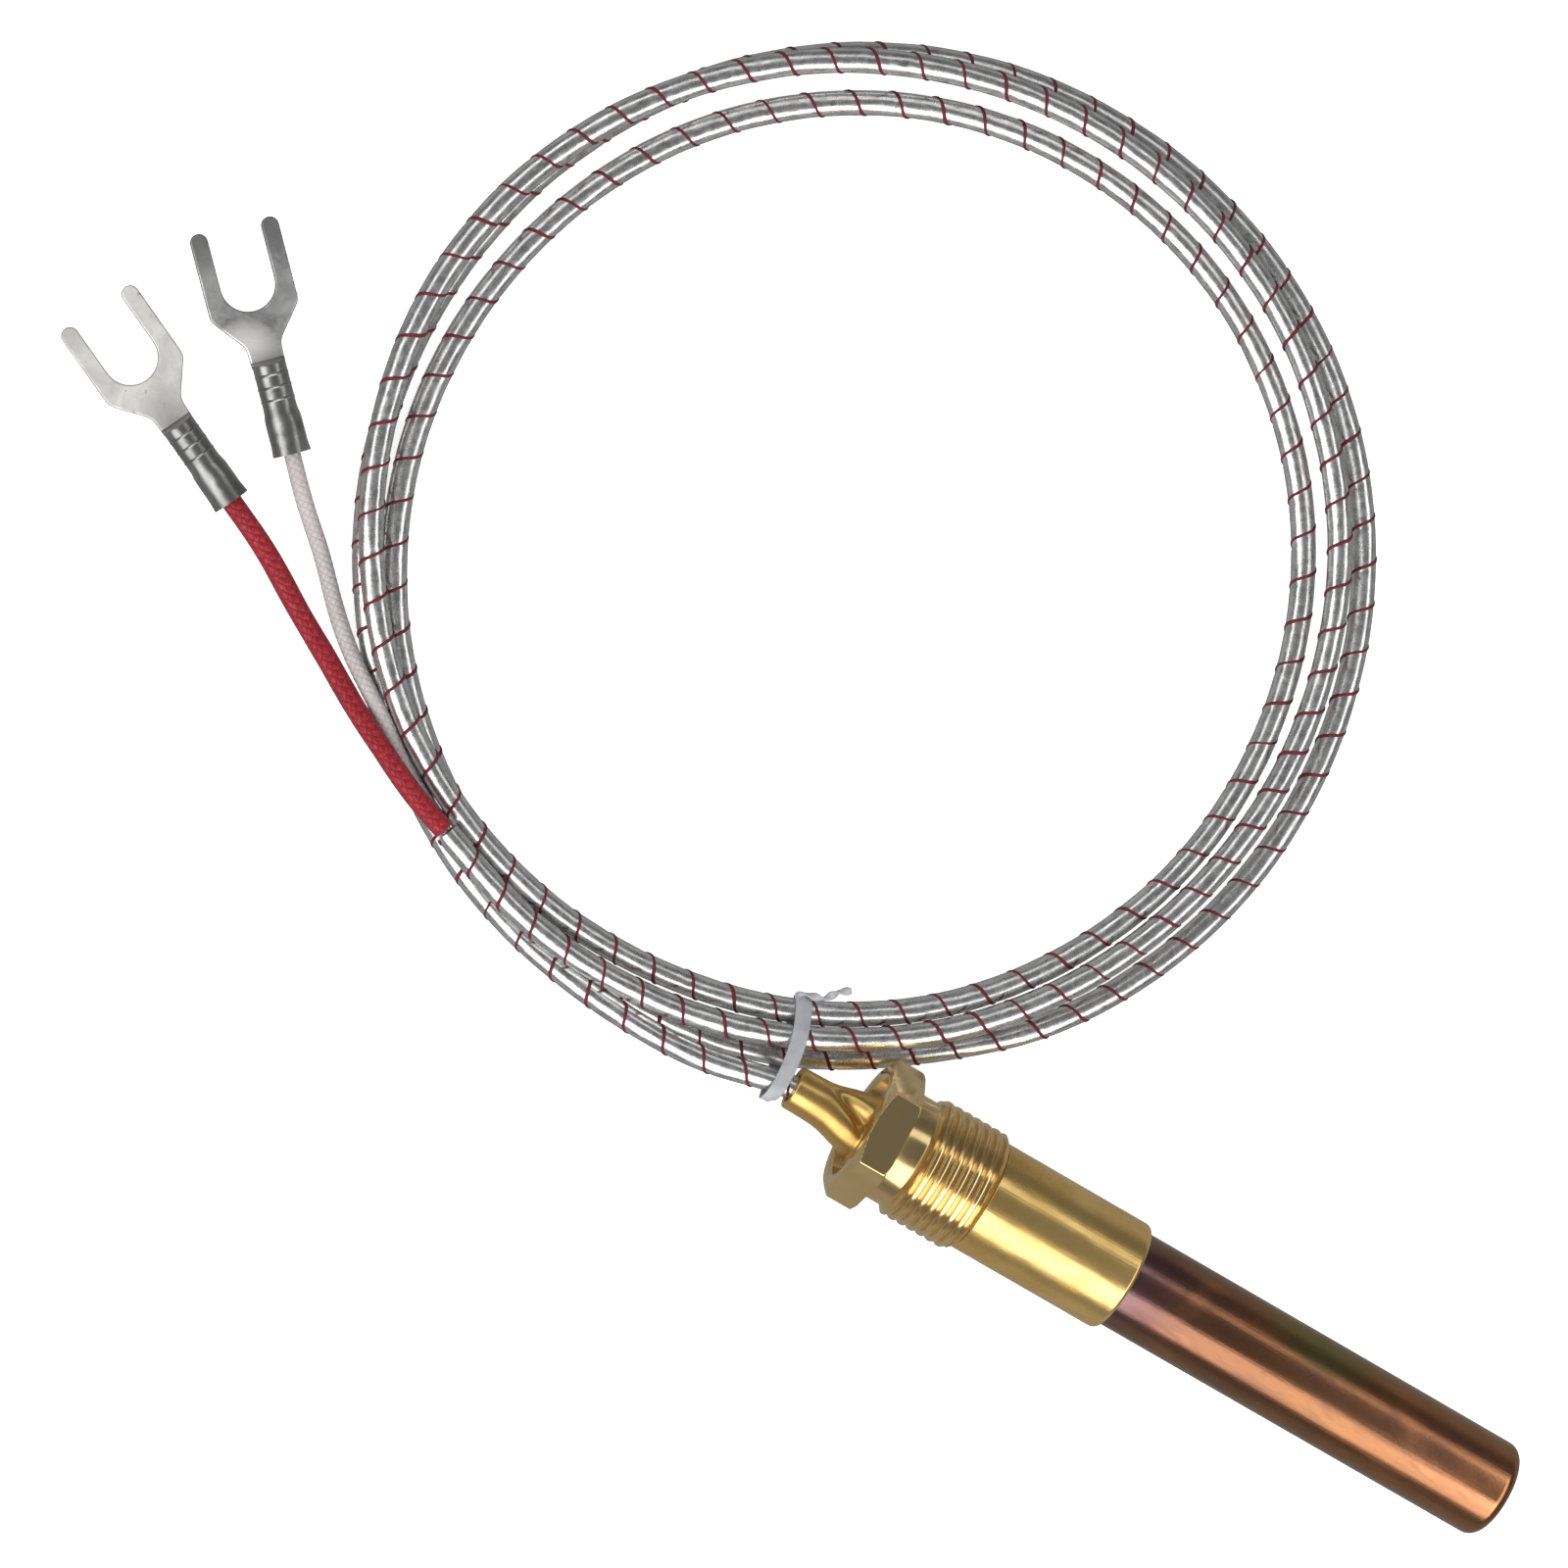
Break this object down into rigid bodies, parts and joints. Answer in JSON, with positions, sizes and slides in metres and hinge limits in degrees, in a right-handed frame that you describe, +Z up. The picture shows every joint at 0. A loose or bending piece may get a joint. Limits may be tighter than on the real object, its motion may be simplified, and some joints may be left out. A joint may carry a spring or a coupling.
{
  "type": "thermopile generator",
  "caption": "Two-lead thermopile generator for a gas pilot: copper probe, captive brass attachment nut, foil-covered coiled lead and fork terminals.",
  "frame": {"origin": "on the probe axis at the sleeve shoulder, where the thread end of the attachment nut bears", "axes": "+X along the probe towards its closed tip, +Z up from the surface the part lies on"},
  "size_m": [0.1772, 0.1039, 0.0148],
  "materials": {
    "brass_nut": "turned satin",
    "brass_bright": "drawn satin",
    "foil": "crinkled foil",
    "ceramic": "unglazed",
    "potting": "cement",
    "tie_plastic": "matte",
    "weld": "weld",
    "brass_cap": "satin",
    "core_wrap": "braided",
    "mica": "mica",
    "wire": "tinned strands",
    "core_white": "braided",
    "alloy_negative": "drawn",
    "splice": "plain",
    "core_red": "braided",
    "alloy_positive": "drawn",
    "copper": "heat-tinted satin",
    "tinned": "tin plate",
    "red_braid": "braided",
    "white_braid": "braided"
  },
  "bodies": {
    "probe": {"brass_sleeve": "brass_bright", "cable_sheath": "foil", "ceramic_former": "ceramic", "ceramic_potting": "potting", "coil_tie": "tie_plastic", "cold_junction_beads": "weld", "crimped_rear_cap": "brass_cap", "front_spacer": "ceramic", "hot_junction_beads": "weld", "insulated_core_pair": "core_wrap", "mica_liner": "mica", "negative_bare_end": "wire", "negative_core_tail": "core_white", "negative_elements": "alloy_negative", "negative_splice": "splice", "positive_bare_end": "wire", "positive_core_tail": "core_red", "positive_elements": "alloy_positive", "positive_splice": "splice", "protection_tube": "copper", "rear_spacer": "ceramic"},
    "nut": {"attachment_nut": "brass_nut"},
    "white_lead": {"white_fork_terminal": "tinned", "white_lead_conductor": "wire", "white_lead_sleeve": "white_braid"},
    "red_lead": {"red_fork_terminal": "tinned", "red_lead_conductor": "wire", "red_lead_sleeve": "red_braid"}
  },
  "joints": [
    {"name": "nut_spin", "type": "hinge", "parent": "probe", "child": "nut", "pos_m": [-0.006, 0, 0], "axis": [1, 0, 0], "continuous": true},
    {"name": "white_lead_lift", "type": "hinge", "parent": "probe", "child": "white_lead", "pos_m": [-0.06248, 0.00451, 0.00075], "axis": [0.3617, 0.9323, 0], "range_deg": [0, 35]},
    {"name": "red_lead_lift", "type": "hinge", "parent": "white_lead", "child": "red_lead", "pos_m": [-0.06248, 0.00451, 0.00075], "axis": [0.3617, 0.9323, 0], "range_deg": [0, 25]}
  ]
}
